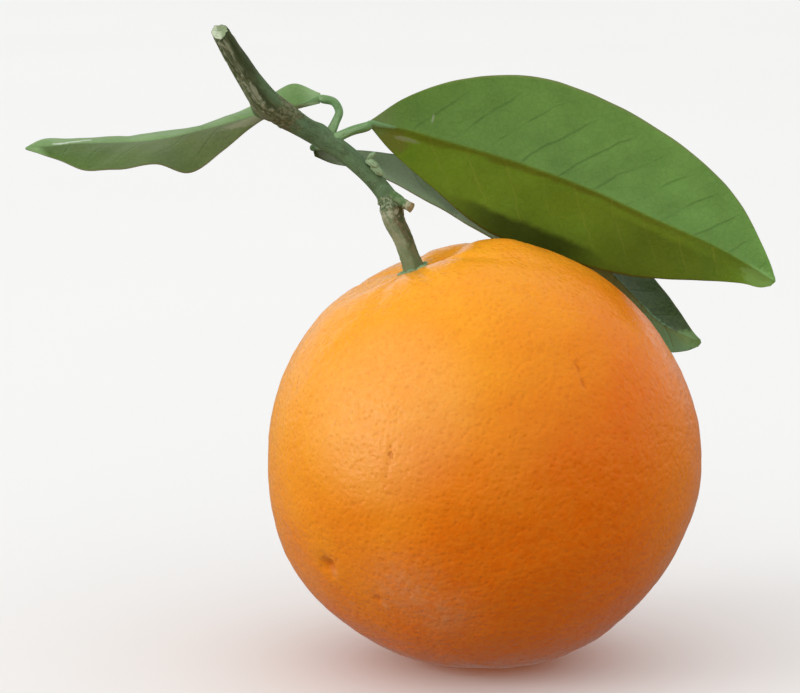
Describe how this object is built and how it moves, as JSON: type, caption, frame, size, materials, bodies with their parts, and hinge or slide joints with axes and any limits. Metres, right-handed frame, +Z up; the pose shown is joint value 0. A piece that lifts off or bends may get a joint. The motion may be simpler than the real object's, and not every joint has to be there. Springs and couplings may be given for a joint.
{
  "type": "orange with stalk and leaves",
  "caption": "Round ripe orange as picked, with its stalk, a clipped piece of twig and leaves, resting on a small flat spot.",
  "frame": {"origin": "middle of the flat spot that the fruit rests on", "axes": "+Z up from the surface it rests on, +X towards the tip of the large leaf, +Y away from the side that the stalk and the large leaf show best"},
  "size_m": [0.1362, 0.0784, 0.1165],
  "materials": {
    "orange_rind": "satin",
    "calyx_green": "matte",
    "stalk_bark": "matte",
    "twig_bark": "matte",
    "spur_bark": "matte",
    "bud_scale": "matte",
    "leaf_blade": "satin",
    "leaf_stalk": "satin"
  },
  "bodies": {
    "root": {"fruit": "orange_rind", "calyx": "calyx_green", "fruit_stalk": "stalk_bark", "twig": "twig_bark", "side_spur": "spur_bark", "axillary_bud": "bud_scale", "large_leaf": "leaf_blade", "large_leaf_petiole": "leaf_stalk", "left_leaf": "leaf_blade", "left_leaf_petiole": "leaf_stalk", "back_leaf": "leaf_blade", "back_leaf_petiole": "leaf_stalk"}
  },
  "joints": []
}
